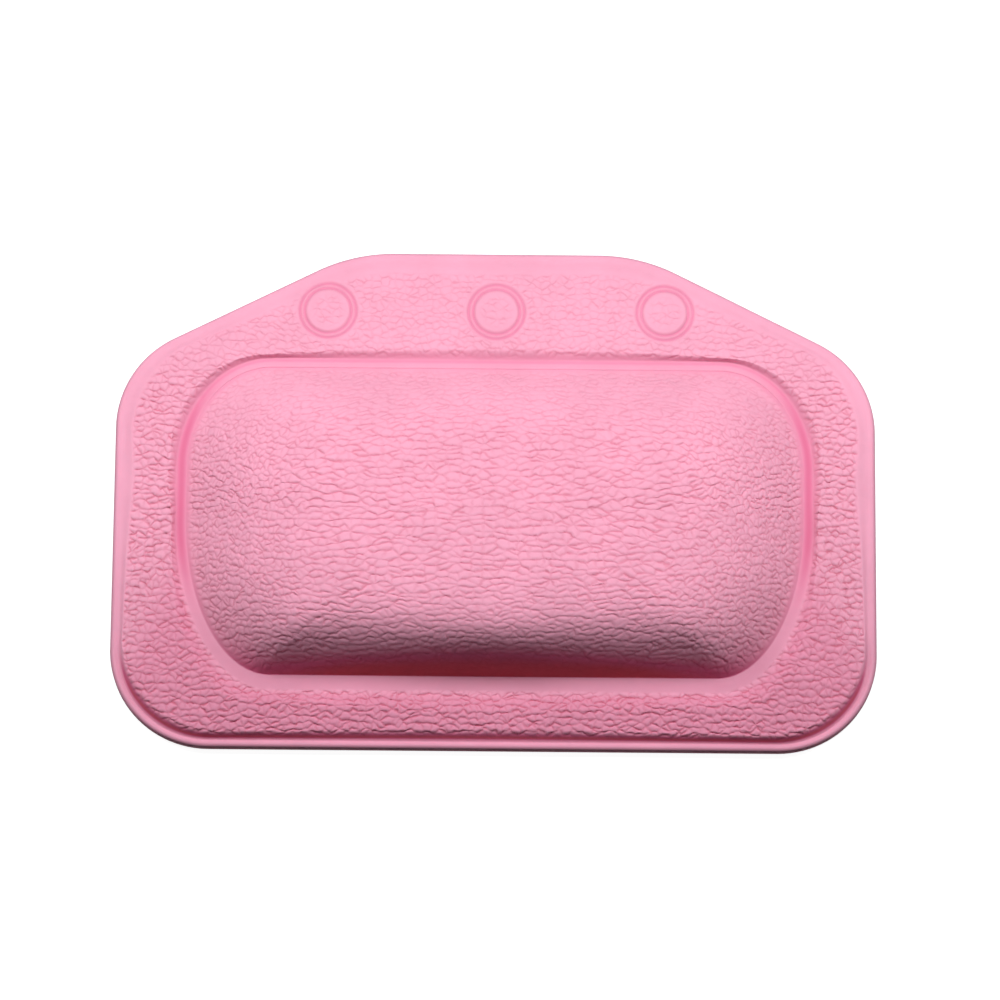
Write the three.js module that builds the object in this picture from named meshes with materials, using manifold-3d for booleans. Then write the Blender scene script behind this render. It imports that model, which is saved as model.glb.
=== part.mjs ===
// Bath pillow. An embossed foam sheet is moulded into a domed cushion and welded to a flat backing
// sheet round a foam block. Three suction cups hold it to the bath. Their heads turn in round pockets
// that ring welds close in the top flap.
//
// Millimetres, +Z up. The pillow lies face up on its cups and on the lower edge of its backing sheet,
// with the top flap towards +Y. So the plate, which is both sheets together, leans. Its pieces are drawn
// flat, with x across, y up the plate and z out of its front, and the plate group leans them.

import * as THREE from 'three';
import { mergeVertices } from 'three/addons/utils/BufferGeometryUtils.js';
import Module from 'manifold-3d';

const wasm = await Module();
wasm.setup();

// Plate outline
const PLATE_WIDTH = 330;
const PLATE_HEIGHT = 222;
const TOP_EDGE_LENGTH = 125;
const SHOULDER_DROP = 52;
const TOP_CORNER_RADIUS = 75;
const SIDE_CORNER_RADIUS = 45;
const BOTTOM_CORNER_RADIUS = 43;

// Sheets. The front one is full where it lies flat, pressed thin at the welds and drawn thin in the dome.
const BACK_THICKNESS = 2.5;
const FRONT_THICKNESS = 4.6;
const WELD_THICKNESS = 1.2;
const DOME_WALL = 2.8;
const FIT_GAP = 0.3;

// Rim bead, rim weld and the lip where the border rises from a weld
const RIM_WIDTH = 2.8;
const RIM_HEIGHT = 2.6;
const RIM_WELD_WIDTH = 2.2;
const BORDER_LIP = 3.5;

// Channel round the cushion
const SIDE_BORDER = 26.8;
const TOP_BORDER = 47.8;
const BOTTOM_BORDER = 25.4;
const CHANNEL_WIDTH = 4.5;
const LOWER_CHANNEL_WIDTH = 7;
const CHANNEL_BEAD = 0.7;
const UPPER_CORNER_ACROSS = 41;
const LOWER_CORNER_ACROSS = 42;

// Dome of the cushion. Its crown slants from one height over the lower foot to one over the upper foot,
// and its slopes ease off into the crown over the lengths below.
const LOWER_CROWN_HEIGHT = 34;
const UPPER_CROWN_HEIGHT = 14;
const LOWER_EASE = 12.5;
const UPPER_EASE = 18;
const SIDE_EASE = 36;
const SPINE_LENGTH = 80;

// Suction cups
const CUP_SPACING = 73.5;
const CUP_BELOW_TOP = 27;
const CUP_STANDOFF = 10;
const CUP_RADIUS = 16.5;
const CUP_RIM_WIDTH = 1.2;
const CUP_RIM_THICKNESS = 0.6;
const CUP_HOLLOW = 3;
const SHOULDER_RADIUS = 5.5;
const NECK_RADIUS = 3;
const NECK_PLAY = 0.5;
const HEAD_RADIUS = 6.5;
const HEAD_THICKNESS = 2.4;
const HEAD_EDGE = 1.2;
const HEAD_PLAY = 1;

// Button over each cup's head, and the ring weld round it
const BUTTON_RADIUS = 10;
const BUTTON_WALL = 2.2;
const RING_WELD_WIDTH = 2.4;

// Facets of the curves, and how far a cut runs past what it cuts
const CORNER_STEPS = 5;
const TOP_CORNER_STEPS = 3;
const BUTTON_SIDES = 12;
const BUTTON_STEPS = 3;
const CUP_SIDES = 28;
const CUP_CURVE_STEPS = 6;
const OVERRUN = 1;

// Cross-sections, as shares of the widths and heights that they name
const BEAD_SHARES = [
  { inset: 0.25, height: 0 },
  { inset: 0, height: 0.45 },
  { inset: 0.25, height: 0.92 },
  { inset: 0.6, height: 1 },
];
const WELD_FLOOR_SHARES = [0.2, 0.7];
const LIP_RISE_SHARE = 0.85;
const CHANNEL_SHARES = [
  { run: 0.15, bead: 0 },
  { run: 0.55, bead: 1 },
  { run: 1, bead: 0 },
];
const UPPER_CORNER_UP_SHARE = 0.33;
const LOWER_CORNER_UP_SHARE = 0.517;
const SLOPE_SHARES = [0.04, 0.1, 0.18, 0.3, 0.52, 0.97];
const TOP_RUN_SHARES = [0.84, 0.7, 0.57, 0.44];
const BUTTON_EDGE_SHARE = 0.6;

// Places that follow from the sizes above
const UPRIGHT = Math.PI / 2;
const CUP_ROW = PLATE_HEIGHT / 2 - CUP_BELOW_TOP;
const CUP_PLACES = { left: -CUP_SPACING, centre: 0, right: CUP_SPACING };
const LEAN = Math.asin(CUP_STANDOFF / (PLATE_HEIGHT / 2 + CUP_ROW));
const SEAM = BACK_THICKNESS + FIT_GAP;
const RIM_END = RIM_WIDTH + RIM_WELD_WIDTH;

// Heights along a cup's upright axis, from the surface that the cup holds to
const HEAD_TILT = HEAD_RADIUS * Math.tan(LEAN);
const SHOULDER_TOP = CUP_STANDOFF - SHOULDER_RADIUS * Math.tan(LEAN) - FIT_GAP;
const HEAD_BASE = CUP_STANDOFF + BACK_THICKNESS / Math.cos(LEAN) + HEAD_TILT + FIT_GAP;
const HEAD_TOP = HEAD_BASE + HEAD_THICKNESS;

// Heights above the seam between the two sheets
const POCKET_HEIGHT = HEAD_TOP - CUP_STANDOFF + HEAD_TILT + FIT_GAP - SEAM;
const BUTTON_HEIGHT = POCKET_HEIGHT + BUTTON_WALL;

const FRONT_FOAM = new THREE.MeshStandardMaterial({ color: 0xeca3bb, roughness: 0.6, metalness: 0 });
const BACK_FOAM = new THREE.MeshStandardMaterial({ color: 0xe79cb4, roughness: 0.7, metalness: 0 });
const FILLING = new THREE.MeshStandardMaterial({ color: 0xf1ead6, roughness: 0.95, metalness: 0 });
const CLEAR_VINYL = new THREE.MeshStandardMaterial({
  color: 0xdde8ea,
  roughness: 0.15,
  metalness: 0,
  transparent: true,
  opacity: 0.45,
});

// Outlines. Each is drawn from the middle of its lower side up its right half, and mirrored. All have
// as many points in the same order, so any two can be joined or mixed point by point.

function arc(centre, radii, from, to, steps) {
  return Array.from({ length: steps + 1 }, (_, step) => {
    const angle = THREE.MathUtils.lerp(from, to, step / steps);
    return new THREE.Vector2(centre.x + radii.x * Math.cos(angle), centre.y + radii.y * Math.sin(angle));
  });
}

function mirrored(half) {
  const left = half.slice(1, -1).reverse();
  return [...half, ...left.map((point) => new THREE.Vector2(-point.x, point.y))];
}

function mixed(outline, other, share) {
  return outline.map((point, i) => point.clone().lerp(other[i], share));
}

// The plate: straight lower side, sides and top, joined by sloping shoulders. An inset keeps the
// centres of the corners and takes the inset off their radii.
function plateOutline(inset) {
  const right = PLATE_WIDTH / 2;
  const top = PLATE_HEIGHT / 2;
  const shoulderNormal = Math.atan2(right - TOP_EDGE_LENGTH / 2, SHOULDER_DROP);
  const lowerCentre = { x: right - BOTTOM_CORNER_RADIUS, y: BOTTOM_CORNER_RADIUS - top };
  const sideCentre = {
    x: right - SIDE_CORNER_RADIUS,
    y: top - SHOULDER_DROP - SIDE_CORNER_RADIUS * Math.tan(shoulderNormal / 2),
  };
  const topCentre = {
    x: TOP_EDGE_LENGTH / 2 - TOP_CORNER_RADIUS * Math.tan((UPRIGHT - shoulderNormal) / 2),
    y: top - TOP_CORNER_RADIUS,
  };
  const corner = (centre, radius, from, to, steps) => {
    const reach = radius - inset;
    return arc(centre, { x: reach, y: reach }, from, to, steps);
  };
  return mirrored([
    new THREE.Vector2(0, inset - top),
    ...corner(lowerCentre, BOTTOM_CORNER_RADIUS, -UPRIGHT, 0, CORNER_STEPS),
    new THREE.Vector2(right - inset, (lowerCentre.y + sideCentre.y) / 2),
    ...corner(sideCentre, SIDE_CORNER_RADIUS, 0, shoulderNormal, CORNER_STEPS),
    ...corner(topCentre, TOP_CORNER_RADIUS, shoulderNormal, UPRIGHT, TOP_CORNER_STEPS),
    new THREE.Vector2(0, top - inset),
  ]);
}

// The cushion: a rounded box whose corners are longer below than above. Along its top it has a point
// for each one of the plate's top corners.
function boxOutline(box) {
  const upperRun = box.side - box.upper.x;
  const lowerRun = box.side - box.lower.x;
  const upperStart = box.top - box.upper.y;
  const lowerEnd = box.bottom + box.lower.y;
  return mirrored([
    new THREE.Vector2(0, box.bottom),
    ...arc({ x: lowerRun, y: lowerEnd }, box.lower, -UPRIGHT, 0, CORNER_STEPS),
    new THREE.Vector2(box.side, (lowerEnd + upperStart) / 2),
    ...arc({ x: upperRun, y: upperStart }, box.upper, 0, UPRIGHT, CORNER_STEPS),
    ...TOP_RUN_SHARES.map((share) => new THREE.Vector2(upperRun * share, box.top)),
    new THREE.Vector2(0, box.top),
  ]);
}

function shrunk(box, inset, lowerInset = inset) {
  return {
    side: box.side - inset,
    top: box.top - inset,
    bottom: box.bottom + lowerInset,
    upper: { x: box.upper.x - inset, y: box.upper.y - inset },
    lower: { x: box.lower.x - inset, y: box.lower.y - lowerInset },
  };
}

const CHANNEL_HEIGHT = PLATE_HEIGHT - TOP_BORDER - BOTTOM_BORDER;
const CHANNEL_BOX = {
  side: PLATE_WIDTH / 2 - SIDE_BORDER,
  top: PLATE_HEIGHT / 2 - TOP_BORDER,
  bottom: BOTTOM_BORDER - PLATE_HEIGHT / 2,
  upper: { x: UPPER_CORNER_ACROSS, y: CHANNEL_HEIGHT * UPPER_CORNER_UP_SHARE },
  lower: { x: LOWER_CORNER_ACROSS, y: CHANNEL_HEIGHT * LOWER_CORNER_UP_SHARE },
};
const FOOT_BOX = shrunk(CHANNEL_BOX, CHANNEL_WIDTH, LOWER_CHANNEL_WIDTH);

// Solids

function ringAt(outline, height) {
  return outline.map((point) => new THREE.Vector3(point.x, point.y, height));
}

// A closed body through rings that have as many points each, with flat ends on the first and the last.
// Each four points between two rings are joined across their shorter diagonal, so that surfaces drawn
// one inside the other keep their distance.
function loft(rings) {
  const points = rings.flat();
  const count = rings[0].length;
  const last = rings.length - 1;
  const faces = [];
  for (let ring = 0; ring < last; ring++) {
    for (let i = 0; i < count; i++) {
      const a = ring * count + i;
      const b = ring * count + ((i + 1) % count);
      const c = b + count;
      const d = a + count;
      const shorter = points[a].distanceTo(points[c]) < points[b].distanceTo(points[d]);
      faces.push(...(shorter ? [a, b, c, a, c, d] : [a, b, d, b, c, d]));
    }
  }
  const flatEnd = (ring) => THREE.ShapeUtils.triangulateShape(rings[ring], []);
  for (const [a, b, c] of flatEnd(0)) faces.push(a, c, b);
  for (const face of flatEnd(last)) faces.push(...face.map((corner) => last * count + corner));

  const positions = points.flatMap((point) => [point.x, point.y, point.z]);
  const geometry = new THREE.BufferGeometry();
  geometry.setAttribute('position', new THREE.Float32BufferAttribute(positions, 3));
  geometry.setIndex(faces);
  geometry.computeVertexNormals();
  return geometry;
}

// A turned body about +Z through points given as radius and height.
function turned(profile, sides) {
  const points = profile.map(([radius, height]) => new THREE.Vector2(radius, height));
  return new THREE.LatheGeometry(points, sides).rotateX(UPRIGHT);
}

function radiusAndHeight(points) {
  return points.map((point) => [point.x, point.y]);
}

// The geometry as a solid for cutting and joining, with shared corners and without collapsed faces.
function toSolid(geometry) {
  const bare = new THREE.BufferGeometry();
  bare.setAttribute('position', geometry.getAttribute('position'));
  bare.setIndex(geometry.index);
  const merged = mergeVertices(bare);
  const corners = merged.index.array;
  const faces = [];
  for (let i = 0; i < corners.length; i += 3) {
    const [a, b, c] = corners.slice(i, i + 3);
    if (a !== b && b !== c && c !== a) faces.push(a, b, c);
  }
  const mesh = new wasm.Mesh({
    numProp: 3,
    vertProperties: merged.getAttribute('position').array,
    triVerts: new Uint32Array(faces),
  });
  return new wasm.Manifold(mesh);
}

function toGeometry(solid) {
  const { vertProperties, triVerts } = solid.getMesh();
  const geometry = new THREE.BufferGeometry();
  geometry.setAttribute('position', new THREE.BufferAttribute(vertProperties, 3));
  geometry.setIndex(new THREE.BufferAttribute(triVerts, 1));
  geometry.computeVertexNormals();
  return geometry;
}

function part(name, geometry, material) {
  const mesh = new THREE.Mesh(geometry, material);
  mesh.name = name;
  return mesh;
}

// The dome's rings, for a foot that lies inset from the true one and a crown that lies as far under the
// true one. Each line of points runs from the foot to the middle line of the crown, steep at first.
function domeRings(inset, base) {
  const { top, bottom } = FOOT_BOX;
  const side = FOOT_BOX.side - inset;
  const foot = boxOutline(shrunk(FOOT_BOX, inset));
  const spine = foot.map(({ x }) => new THREE.Vector2((x / side) * (SPINE_LENGTH / 2), (top + bottom) / 2));
  const heightAt = (point, i) => {
    const line = spine[i].clone().sub(foot[i]);
    const sideways = (line.x / line.length()) ** 2;
    const ease = THREE.MathUtils.lerp(line.y > 0 ? LOWER_EASE : UPPER_EASE, SIDE_EASE, sideways);
    const upward = (point.y - bottom) / (top - bottom);
    const crown = THREE.MathUtils.lerp(LOWER_CROWN_HEIGHT, UPPER_CROWN_HEIGHT, upward) - inset;
    return THREE.MathUtils.lerp(base, crown, Math.tanh(point.distanceTo(foot[i]) / ease));
  };
  return SLOPE_SHARES.map((share) =>
    mixed(foot, spine, share).map((point, i) => new THREE.Vector3(point.x, point.y, heightAt(point, i))),
  );
}

// Front cover

// Its face from the rim inwards: bead, rim weld, border, channel, dome.
function frontRings() {
  const lipHeight = THREE.MathUtils.lerp(WELD_THICKNESS, FRONT_THICKNESS, LIP_RISE_SHARE);
  const outerLip = plateOutline(RIM_END + BORDER_LIP);
  const innerLip = boxOutline(shrunk(CHANNEL_BOX, -BORDER_LIP));
  const bead = BEAD_SHARES.map(({ inset, height }) =>
    ringAt(plateOutline(RIM_WIDTH * inset), RIM_HEIGHT * height),
  );
  const weld = WELD_FLOOR_SHARES.map((share) =>
    ringAt(plateOutline(RIM_WIDTH + RIM_WELD_WIDTH * share), WELD_THICKNESS),
  );
  const channel = CHANNEL_SHARES.map(({ run, bead: rise }) => {
    const box = shrunk(CHANNEL_BOX, CHANNEL_WIDTH * run, LOWER_CHANNEL_WIDTH * run);
    return ringAt(boxOutline(box), WELD_THICKNESS + CHANNEL_BEAD * rise);
  });
  return [
    ...bead,
    ...weld,
    ringAt(outerLip, lipHeight),
    ringAt(mixed(outerLip, innerLip, 1 / 2), FRONT_THICKNESS),
    ringAt(innerLip, lipHeight),
    ...channel,
    ...domeRings(0, WELD_THICKNESS),
  ];
}

// Its back from the dome's hollow outwards. The rest of the back is flat.
function hollowRings() {
  const foot = ringAt(boxOutline(shrunk(FOOT_BOX, DOME_WALL)), 0);
  return [foot, ...domeRings(DOME_WALL, 0)].reverse();
}

// What is cleared for a button, down to the floor of its ring weld.
function buttonClearing() {
  const floor = BUTTON_RADIUS + RING_WELD_WIDTH * WELD_FLOOR_SHARES[1];
  const mouth = BUTTON_RADIUS + RING_WELD_WIDTH;
  const top = BUTTON_HEIGHT + OVERRUN;
  return turned([[0, WELD_THICKNESS], [floor, WELD_THICKNESS], [mouth, top], [0, top]], BUTTON_SIDES);
}

function button() {
  const foot = BUTTON_RADIUS + RING_WELD_WIDTH * WELD_FLOOR_SHARES[0];
  const base = WELD_THICKNESS / 2;
  const edge = THREE.MathUtils.lerp(WELD_THICKNESS, FRONT_THICKNESS, BUTTON_EDGE_SHARE);
  const bulge = { x: BUTTON_RADIUS, y: BUTTON_HEIGHT - edge };
  const crown = radiusAndHeight(arc({ x: 0, y: edge }, bulge, 0, UPRIGHT, BUTTON_STEPS).slice(0, -1));
  const profile = [[0, base], [foot, base], [foot, WELD_THICKNESS], ...crown, [0, BUTTON_HEIGHT]];
  return turned(profile, BUTTON_SIDES);
}

// The hollow under a button, where a cup's head turns.
function pocket() {
  const radius = HEAD_RADIUS + HEAD_PLAY;
  const profile = [[0, -OVERRUN], [radius, -OVERRUN], [radius, POCKET_HEIGHT], [0, POCKET_HEIGHT]];
  return turned(profile, BUTTON_SIDES);
}

function frontCover() {
  let cover = toSolid(loft([...hollowRings(), ...frontRings()]));
  for (const x of Object.values(CUP_PLACES)) {
    const placed = (geometry) => toSolid(geometry.translate(x, CUP_ROW, 0));
    cover = cover.subtract(placed(buttonClearing())).add(placed(button())).subtract(placed(pocket()));
  }
  const mesh = part('front_cover', toGeometry(cover), FRONT_FOAM);
  mesh.position.z = SEAM;
  return mesh;
}

// Back cover: the flat sheet, with a hole for each cup's neck.
function backCover() {
  const shape = new THREE.Shape(plateOutline(0));
  const radius = NECK_RADIUS + NECK_PLAY;
  for (const x of Object.values(CUP_PLACES)) {
    const hole = arc({ x, y: CUP_ROW }, { x: radius, y: radius }, 0, 2 * Math.PI, BUTTON_SIDES);
    shape.holes.push(new THREE.Path(hole.slice(1)));
  }
  const geometry = new THREE.ExtrudeGeometry(shape, { depth: BACK_THICKNESS, bevelEnabled: false });
  return part('back_cover', geometry, BACK_FOAM);
}

// Foam core: fills the dome, a fit gap inside the front sheet.
function foamCore() {
  const inset = DOME_WALL + FIT_GAP;
  const base = ringAt(boxOutline(shrunk(FOOT_BOX, inset)), 0);
  const mesh = part('foam_core', loft([base, ...domeRings(inset, 0)]), FILLING);
  mesh.position.z = SEAM;
  return mesh;
}

// Suction cup: a hollow disc that flares up into a shoulder under the backing sheet, a neck through
// the sheet's hole and a mushroom head above it.
function suctionCup(side, x) {
  const rimInner = CUP_RADIUS - CUP_RIM_WIDTH;
  const hollow = new THREE.QuadraticBezierCurve(
    new THREE.Vector2(0, CUP_HOLLOW),
    new THREE.Vector2(rimInner / 2, CUP_HOLLOW),
    new THREE.Vector2(rimInner, 0),
  );
  const flare = new THREE.QuadraticBezierCurve(
    new THREE.Vector2(CUP_RADIUS, CUP_RIM_THICKNESS),
    new THREE.Vector2(SHOULDER_RADIUS, CUP_HOLLOW + CUP_RIM_THICKNESS),
    new THREE.Vector2(SHOULDER_RADIUS, SHOULDER_TOP),
  );
  const bulge = { x: HEAD_RADIUS, y: HEAD_THICKNESS - HEAD_EDGE };
  const head = arc({ x: 0, y: HEAD_BASE + HEAD_EDGE }, bulge, 0, UPRIGHT, BUTTON_STEPS).slice(0, -1);
  const profile = [
    ...radiusAndHeight(hollow.getPoints(CUP_CURVE_STEPS)),
    [CUP_RADIUS, 0],
    ...radiusAndHeight(flare.getPoints(CUP_CURVE_STEPS)),
    [NECK_RADIUS, SHOULDER_TOP],
    [NECK_RADIUS, HEAD_BASE],
    [HEAD_RADIUS, HEAD_BASE],
    ...radiusAndHeight(head),
    [0, HEAD_TOP],
  ];
  const mesh = part(`suction_cup_${side}`, turned(profile, CUP_SIDES), CLEAR_VINYL);
  mesh.position.set(x, CUP_ROW * Math.cos(LEAN), 0);
  return mesh;
}

function bathPillow() {
  const plate = new THREE.Group();
  plate.add(frontCover(), backCover(), foamCore());
  plate.rotation.x = LEAN;
  plate.position.z = (PLATE_HEIGHT / 2) * Math.sin(LEAN);

  const pillow = new THREE.Group();
  pillow.add(plate);
  for (const [side, x] of Object.entries(CUP_PLACES)) pillow.add(suctionCup(side, x));

  const centre = new THREE.Box3().setFromObject(pillow, true).getCenter(new THREE.Vector3());
  pillow.position.y = -centre.y;
  return pillow;
}

export default bathPillow();
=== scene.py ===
"""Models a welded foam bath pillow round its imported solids: embossed front sheet, backing sheet,
filling and three clear suction cups, on a white studio floor."""

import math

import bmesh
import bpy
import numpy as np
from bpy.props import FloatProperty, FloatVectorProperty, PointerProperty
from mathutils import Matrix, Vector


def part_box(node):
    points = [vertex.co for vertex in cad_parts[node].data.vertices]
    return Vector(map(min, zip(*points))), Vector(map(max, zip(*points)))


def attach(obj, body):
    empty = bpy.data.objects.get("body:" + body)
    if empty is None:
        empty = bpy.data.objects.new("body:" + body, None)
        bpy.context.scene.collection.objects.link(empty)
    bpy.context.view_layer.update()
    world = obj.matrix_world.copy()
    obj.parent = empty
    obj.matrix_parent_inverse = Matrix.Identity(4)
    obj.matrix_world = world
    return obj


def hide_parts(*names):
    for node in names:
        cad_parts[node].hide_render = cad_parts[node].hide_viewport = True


bl_info = {
    "name": "Bath Pillow",
    "version": (1, 0, 0),
    "blender": (4, 5, 0),
    "location": "View3D > Sidebar > Bath Pillow",
    "description": "Models a welded foam bath pillow with suction cups",
    "category": "Object",
}

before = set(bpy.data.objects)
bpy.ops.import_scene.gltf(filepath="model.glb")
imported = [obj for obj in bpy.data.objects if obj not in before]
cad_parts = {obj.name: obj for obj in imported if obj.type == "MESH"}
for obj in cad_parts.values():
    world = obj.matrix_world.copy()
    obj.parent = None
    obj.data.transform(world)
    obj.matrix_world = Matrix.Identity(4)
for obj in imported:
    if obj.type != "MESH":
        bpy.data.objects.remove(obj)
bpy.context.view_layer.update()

MM = 0.001
QUARTER = math.pi / 2
CUP_SIDES = ("left", "centre", "right")
PICTURE = 1000

# Points along half an outline, from the middle of its lower side to the middle of its upper side.
# As many lie below the middle of the side as above it, so that the crown closes in even quads.
OUTLINE_POINTS = {
    "lower_run": 222,
    "lower_corner": 168,
    "lower_side": 110,
    "upper_side": 75,
    "upper_corner": 130,
    "shoulder": 140,
    "top_corner": 72,
    "top_run": 83,
}
RING_POINTS = 2 * sum(OUTLINE_POINTS.values())

# Every how many of those points the plain hidden surfaces take one
BACK_STRIDE = 8
PLAIN_STRIDE = 4

# Rings across each part of the front sheet
BEAD_RINGS = 9
BORDER_RINGS = 72
CHANNEL_RINGS = 12
DOME_RINGS = 150
HOLLOW_RINGS = 20

# Shares of the bead's width and height at which its outer wall starts and ends
BEAD_TUCK = 0.25
BEAD_WALL = 0.45

# How far the dome's rings go from its foot to its spine, where the innermost one is closed
SPINE_REACH = 0.985

# Names of what the front sheet's points carry for its relief and its finish
SHEET_PLACE = "sheet_place"
GRAIN = "grain"
# The weld attribute holds the weld's colour share and painted shade. Up to 1 it is partly painted shade in
# the channel, the rim groove and along the lower border. From 1 to 2 it is the lower foot's painted shade.
WELD_AND_SHADE = "weld"

# Shares of the weld attribute's colour, where 1 has the weld's colour and 2 the lower foot's painted
# shade. The channel's and the rim groove's shares are partly the pressed weld's colour and partly
# painted shade in those hollows. The lower border's and the lower foot's shares are painted shade only.
CHANNEL_WELD_SHADE = 0.4
GROOVE_WELD_SHADE = 1.6
LOWER_BORDER_SHADE = 0.32
LOWER_FOOT_SHADE = 2
UPPER_FOOT_TINT = 0.1
BUTTON_TINT = 0.6


def length(name, description, millimetres):
    """A length of a property group, given in millimetres."""
    return FloatProperty(
        name=name, description=description, default=millimetres * MM, min=0, unit="LENGTH", precision=4
    )


def colour(name, description, value):
    """A colour of a property group."""
    return FloatVectorProperty(
        name=name, description=description, default=value, size=3, min=0, max=1, subtype="COLOR"
    )


class PlateSizes(bpy.types.PropertyGroup):
    """Outline and sheets of the plate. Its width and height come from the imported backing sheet."""

    top_edge: length("Top edge", "Straight top edge between the shoulders' corners", 125)
    shoulder_drop: length("Shoulder drop", "From the top edge down to the side corners", 52)
    top_corner: length("Top corner", "Radius of the corners of the top flap", 75)
    side_corner: length("Side corner", "Radius of the corners at the sides", 45)
    bottom_corner: length("Bottom corner", "Radius of the lower corners", 43)
    fit_gap: length("Fit gap", "Clearance between the sheets and round the filling", 0.3)
    front_thickness: length("Front thickness", "Front sheet where it lies flat", 4.6)
    dome_wall: length("Dome wall", "Front sheet over the filling", 2.8)


class WeldSizes(bpy.types.PropertyGroup):
    """Rim, rim weld and the channel round the cushion."""

    thickness: length("Weld thickness", "Front sheet where a weld presses it", 1.2)
    rim_width: length("Rim width", "Width of the bead along the edge", 3.4)
    rim_height: length("Rim height", "Height of the bead along the lower edge", 2.6)
    rim_rise: length("Rim rise", "How much higher the bead stands where the weld is hardly pressed", 1.2)
    rim_weld: length("Rim weld", "Width of the weld inside the bead", 2.2)
    side_border: length("Side border", "From the plate's side to the channel", 26.8)
    top_border: length("Top border", "From the plate's top to the channel", 47.8)
    bottom_border: length("Bottom border", "From the plate's lower edge to the channel", 25.4)
    channel: length("Channel", "Width of the channel at the top and sides", 4.5)
    lower_channel: length("Lower channel", "Width of the channel under the cushion", 7)
    step: length("Channel step", "Rise of the channel's inner half above the cushion", 0.45)
    upper_across: length("Upper corner across", "Width of the channel's upper corners", 41)
    upper_up: length("Upper corner up", "Height of the channel's upper corners", 49.1)
    lower_across: length("Lower corner across", "Width of the channel's lower corners", 42)
    lower_up: length("Lower corner up", "Height of the channel's lower corners", 76.9)


class DomeSizes(bpy.types.PropertyGroup):
    """The cushion's dome over the channel."""

    lower_height: length("Lower height", "Height that the crown slants to over its lower foot", 34)
    upper_height: length("Upper height", "Height that the crown slants to over its upper foot", 14)
    lower_ease: length("Lower ease", "How far in the slope below eases off", 12.5)
    upper_ease: length("Upper ease", "How far in the slope above eases off", 18)
    side_ease: length("Side ease", "How far in the slopes at the sides ease off", 36)
    spine: length("Spine", "Length of the middle line that the slopes rise to", 80)


class ButtonSizes(bpy.types.PropertyGroup):
    """The round buttons that hold the cups' heads."""

    radius: length("Button radius", "Radius inside the ring weld", 10)
    height: length("Button height", "Crown of a button above the seam", 5.57)
    ring_weld: length("Ring weld", "Width of the ring between the two creases round a button", 2.4)
    crease: length("Ring crease", "Depth of the two creases", 0.6)
    crease_width: length("Ring crease width", "Half width of the two creases", 0.75)
    pocket_radius: length("Pocket radius", "Radius of the hollow for a cup's head", 7.5)
    pocket_height: length("Pocket height", "Height of the hollow for a cup's head", 3.37)


class GrainSizes(bpy.types.PropertyGroup):
    """The crazed leather grain that is embossed in the front sheet."""

    cell_width: length("Cell width", "Usual width of a cell of the grain", 3.4)
    cell_height: length("Cell height", "Usual height of a cell of the grain", 2.8)
    relief: length("Relief", "Height of the cells above their creases", 0.5)
    crease_depth: length("Crease depth", "Depth of the fine line in each crease", 0.09)


class CupSizes(bpy.types.PropertyGroup):
    """The suction cups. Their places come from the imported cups."""

    radius: length("Cup radius", "Radius of a cup's rim", 16.5)
    hollow: length("Cup hollow", "Depth of the hollow under a cup", 3)
    shoulder: length("Shoulder radius", "Radius of the shoulder under the backing sheet", 5.5)
    neck: length("Neck radius", "Radius of the neck through the backing sheet", 3)
    neck_play: length("Neck play", "Clearance of the neck in its hole", 0.5)
    head: length("Head radius", "Radius of the mushroom head", 6.5)
    head_thickness: length("Head thickness", "Height of the mushroom head", 2.4)


class PillowColours(bpy.types.PropertyGroup):
    """Colours of the sheets, the filling and the cups."""

    skin: colour("Skin", "Embossed foam of the front sheet", (0.785, 0.345, 0.475))
    # The weld's own colour. At a share it also paints shade in the channel, the rim groove and along the
    # lower border.
    weld: colour("Weld", "Foam pressed by a weld", (0.66, 0.15, 0.28))
    # Painted shade: the deep red of the cushion's lower foot, whose steep underside lies in shadow.
    painted_foot_shade: colour("Foot_shade", "Foam folded in at the cushion's lower foot", (0.6, 0.1, 0.13))
    # Painted shade in the grain's creases.
    crease: colour(
        "Crease", "Share of the foam's colour that the creases of the grain keep", (0.78, 0.42, 0.46)
    )
    backing: colour("Backing", "Foam of the backing sheet", (0.72, 0.27, 0.37))
    filling: colour("Filling", "Open foam of the filling", (0.88, 0.80, 0.62))
    vinyl: colour("Vinyl", "Clear vinyl of the cups", (0.86, 0.93, 0.94))


class StageSettings(bpy.types.PropertyGroup):
    """Camera and lamps."""

    elevation: FloatProperty(
        name="Elevation", description="Camera above the floor", default=math.radians(72.1), subtype="ANGLE"
    )
    roll: FloatProperty(
        name="Roll", description="Camera turned about its view", default=math.radians(0.5), subtype="ANGLE"
    )
    distance: length("Distance", "From the camera to the plate", 2500)
    scale: FloatProperty(
        name="Scale", description="Pixels of the picture to a metre at the plate", default=2308
    )
    centre: FloatVectorProperty(
        name="Centre",
        description="Pixel of the picture where the plate's centre lies",
        default=(494.8, 499.0),
        size=2,
    )
    strip: FloatProperty(
        name="Strip light", description="Power of the lamp above the flap", default=3.0, unit="POWER"
    )
    ambient: FloatProperty(
        name="Ambient", description="Strength of the world's light on the object", default=0.045
    )


class BathPillowSettings(bpy.types.PropertyGroup):
    """All sizes and colours of the bath pillow."""

    plate: PointerProperty(type=PlateSizes)
    welds: PointerProperty(type=WeldSizes)
    dome: PointerProperty(type=DomeSizes)
    buttons: PointerProperty(type=ButtonSizes)
    grain: PointerProperty(type=GrainSizes)
    cups: PointerProperty(type=CupSizes)
    colours: PointerProperty(type=PillowColours)
    stage: PointerProperty(type=StageSettings)


# Where things are


def node_points(name):
    """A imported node's points as rows of x, y and z, each place once."""
    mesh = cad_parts[name].data
    points = np.empty(3 * len(mesh.vertices))
    mesh.vertices.foreach_get("co", points)
    return np.unique(points.reshape(-1, 3).round(6), axis=0)


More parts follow.
